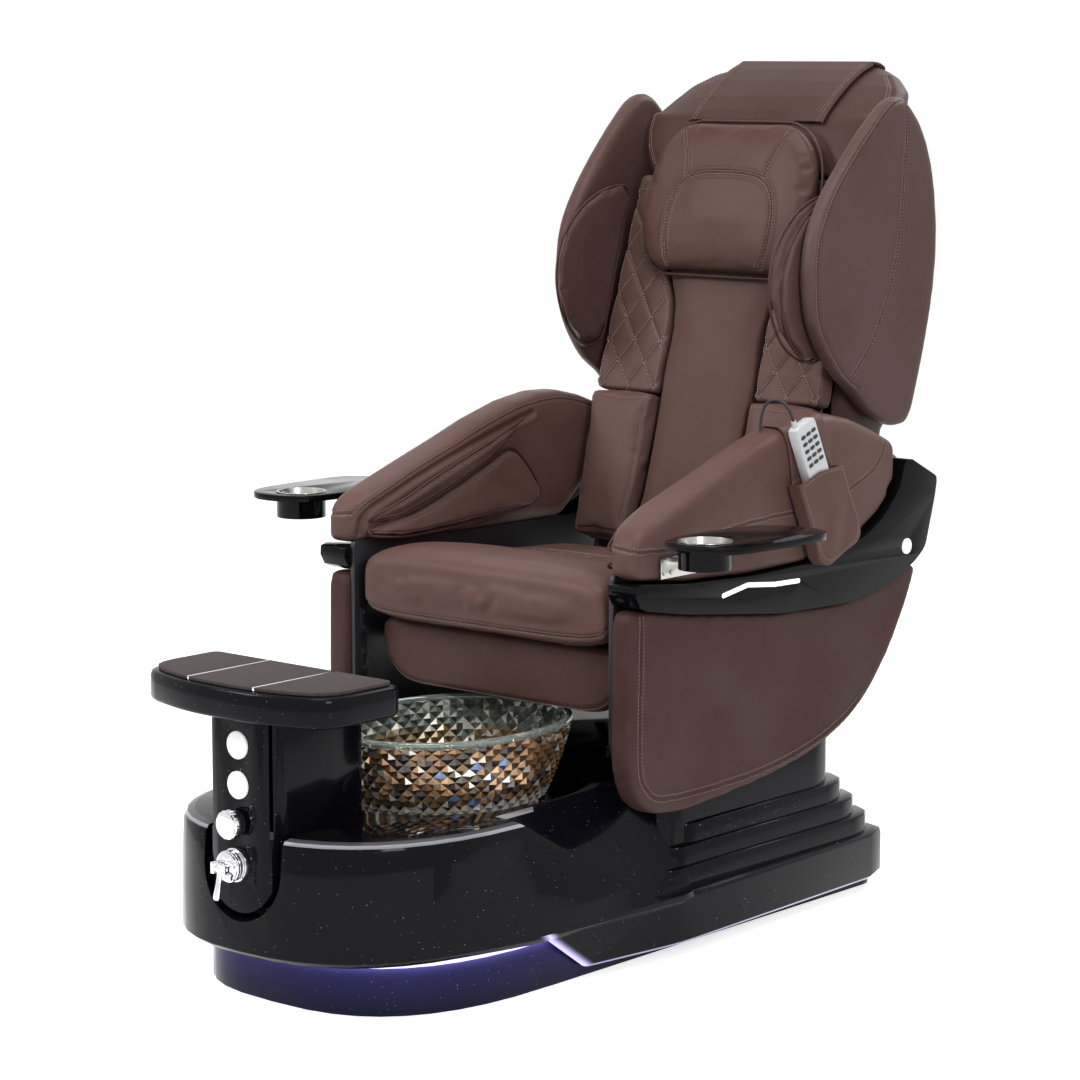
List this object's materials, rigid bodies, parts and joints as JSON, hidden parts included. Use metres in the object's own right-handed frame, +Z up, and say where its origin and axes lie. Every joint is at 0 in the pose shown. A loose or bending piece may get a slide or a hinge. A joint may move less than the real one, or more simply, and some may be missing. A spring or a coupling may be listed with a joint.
{
  "type": "pedicure spa chair",
  "caption": "Reclining leather massage chair on a gloss black base with a glass foot bowl, control tower with footrest, folding side trays and wired remote.",
  "frame": {"origin": "on the floor at the middle of the base, under the plinth's middle cross member", "axes": "+Z up, -Y where the sitter faces, +X the sitter's left-hand side seen from the front right (side of the remote)"},
  "size_m": [1.096, 1.5578, 1.4653],
  "materials": {
    "brown_leather": "smooth, satin",
    "gloss_black": "high gloss",
    "matte_black": "fine grain",
    "led_violet": "lit diffuser",
    "amber_glass": "clear, faceted",
    "polished_chrome": "polished",
    "brass": "turned",
    "white_plastic": "gloss",
    "dark_steel": "satin paint",
    "brushed": "brushed",
    "footrest_rubber": "matte",
    "silver_strip": "satin",
    "remote_grey": "satin",
    "key_black": "matte"
  },
  "bodies": {
    "base": {"plinth": "gloss_black", "led_strip": "led_violet", "base_shell": "gloss_black", "control_tower": "gloss_black", "footrest_shell": "gloss_black", "footrest_pads": "footrest_rubber", "footrest_strips": "silver_strip", "bowl": "amber_glass", "drain_body": "polished_chrome", "jet_motor": "matte_black", "jet_cover": "polished_chrome", "filler_spout": "polished_chrome", "mixer_valve": "polished_chrome", "diverter_valve": "brass", "water_stubs": "brushed", "pedestal_frame": "dark_steel", "slide_rails": "brushed"},
    "chair_top": {"seat_frame": "dark_steel", "seat_cushion": "brown_leather", "seat_apron": "brown_leather", "side_panel_left": "brown_leather", "side_panel_right": "brown_leather", "inner_panels": "matte_black", "side_trim_left": "gloss_black", "side_trim_right": "gloss_black", "light_bars": "white_plastic", "screw_caps": "white_plastic", "arm_left": "brown_leather", "arm_right": "brown_leather", "arm_airbags": "brown_leather", "pouch": "brown_leather", "tray_brackets": "brushed", "remote_cord": "key_black"},
    "backrest": {"back_frame": "dark_steel", "back_cover": "matte_black", "back_pad": "brown_leather", "quilted_panels": "brown_leather", "lumbar_pads": "brown_leather", "wing_left": "brown_leather", "wing_right": "brown_leather", "shoulder_pads": "brown_leather", "head_cushion": "brown_leather", "head_band": "brown_leather"},
    "head_pillow": {"pillow": "brown_leather"},
    "massage_unit": {"massage_carriage": "matte_black"},
    "side_tray_right": {"tray_right": "gloss_black", "cup_right": "brushed"},
    "side_tray_left": {"tray_left": "gloss_black", "cup_left": "brushed"},
    "remote": {"remote_body": "remote_grey", "remote_keys": "key_black"},
    "actuator": {"recline_actuator": "dark_steel"},
    "actuator_rod": {"recline_rod": "polished_chrome"},
    "stopper": {"drain_stopper": "polished_chrome"},
    "impeller": {"jet_impeller": "white_plastic"},
    "knob": {"diverter_knob": "polished_chrome"},
    "mixer_cap": {"mixer_cap": "polished_chrome"},
    "mixer_handle": {"mixer_lever": "polished_chrome"},
    "upper_button": {"button_upper": "white_plastic"},
    "lower_button": {"button_lower": "white_plastic"}
  },
  "joints": [
    {"name": "seat_slide", "type": "slide", "parent": "base", "child": "chair_top", "axis": [0, 1, 0], "range_m": [-0.08, 0.06]},
    {"name": "recline", "type": "hinge", "parent": "chair_top", "child": "backrest", "pos_m": [0, 0.462, 0.52], "axis": [-1, 0, 0], "range_deg": [0, 25]},
    {"name": "pillow_flip", "type": "hinge", "parent": "backrest", "child": "head_pillow", "pos_m": [0, 0.5525, 1.3584], "axis": [-1, 0, 0], "range_deg": [0, 60]},
    {"name": "massage_travel", "type": "slide", "parent": "backrest", "child": "massage_unit", "axis": [0, 0.2756, 0.9613], "range_m": [0, 0.42]},
    {"name": "actuator_swing", "type": "hinge", "parent": "chair_top", "child": "actuator", "pos_m": [0, 0.075, 0.43], "axis": [1, 0, 0], "range_deg": [0, 4]},
    {"name": "actuator_travel", "type": "slide", "parent": "actuator", "child": "actuator_rod", "axis": [0, 1, 0], "range_m": [-0.04, 0]},
    {"name": "tray_right_fold", "type": "hinge", "parent": "chair_top", "child": "side_tray_right", "pos_m": [0.376, -0.08, 0.702], "axis": [0, -1, 0], "range_deg": [0, 90]},
    {"name": "tray_left_fold", "type": "hinge", "parent": "chair_top", "child": "side_tray_left", "pos_m": [-0.376, -0.08, 0.702], "axis": [0, 1, 0], "range_deg": [0, 90]},
    {"name": "remote_pull", "type": "slide", "parent": "chair_top", "child": "remote", "axis": [-0.0523, -0.3741, 0.9259], "range_m": [0, 0.105], "deforming": ["remote_cord"]},
    {"name": "stopper_lift", "type": "slide", "parent": "base", "child": "stopper", "axis": [0, 0, 1], "range_m": [0, 0.009]},
    {"name": "impeller_spin", "type": "hinge", "parent": "base", "child": "impeller", "pos_m": [0, -0.314, 0.275], "axis": [0, 0, 1], "continuous": true},
    {"name": "diverter_turn", "type": "hinge", "parent": "base", "child": "knob", "pos_m": [0, -0.752, 0.302], "axis": [0, -1, 0], "range_deg": [-90, 90]},
    {"name": "mixer_turn", "type": "hinge", "parent": "base", "child": "mixer_cap", "pos_m": [0, -0.755, 0.236], "axis": [0, -1, 0], "range_deg": [-45, 45]},
    {"name": "mixer_lift", "type": "hinge", "parent": "mixer_cap", "child": "mixer_handle", "pos_m": [0, -0.7744, 0.236], "axis": [-1, 0, 0], "range_deg": [0, 25]},
    {"name": "upper_button_press", "type": "slide", "parent": "base", "child": "upper_button", "axis": [0, 1, 0], "range_m": [0, 0.003], "stiffness_N_per_m": 600},
    {"name": "lower_button_press", "type": "slide", "parent": "base", "child": "lower_button", "axis": [0, 1, 0], "range_m": [0, 0.003], "stiffness_N_per_m": 600}
  ],
  "couplings": [
    {"joint": "actuator_swing", "follows": "recline", "ratio": 0.12},
    {"joint": "actuator_travel", "follows": "recline", "m_per_rad": -0.0845}
  ]
}
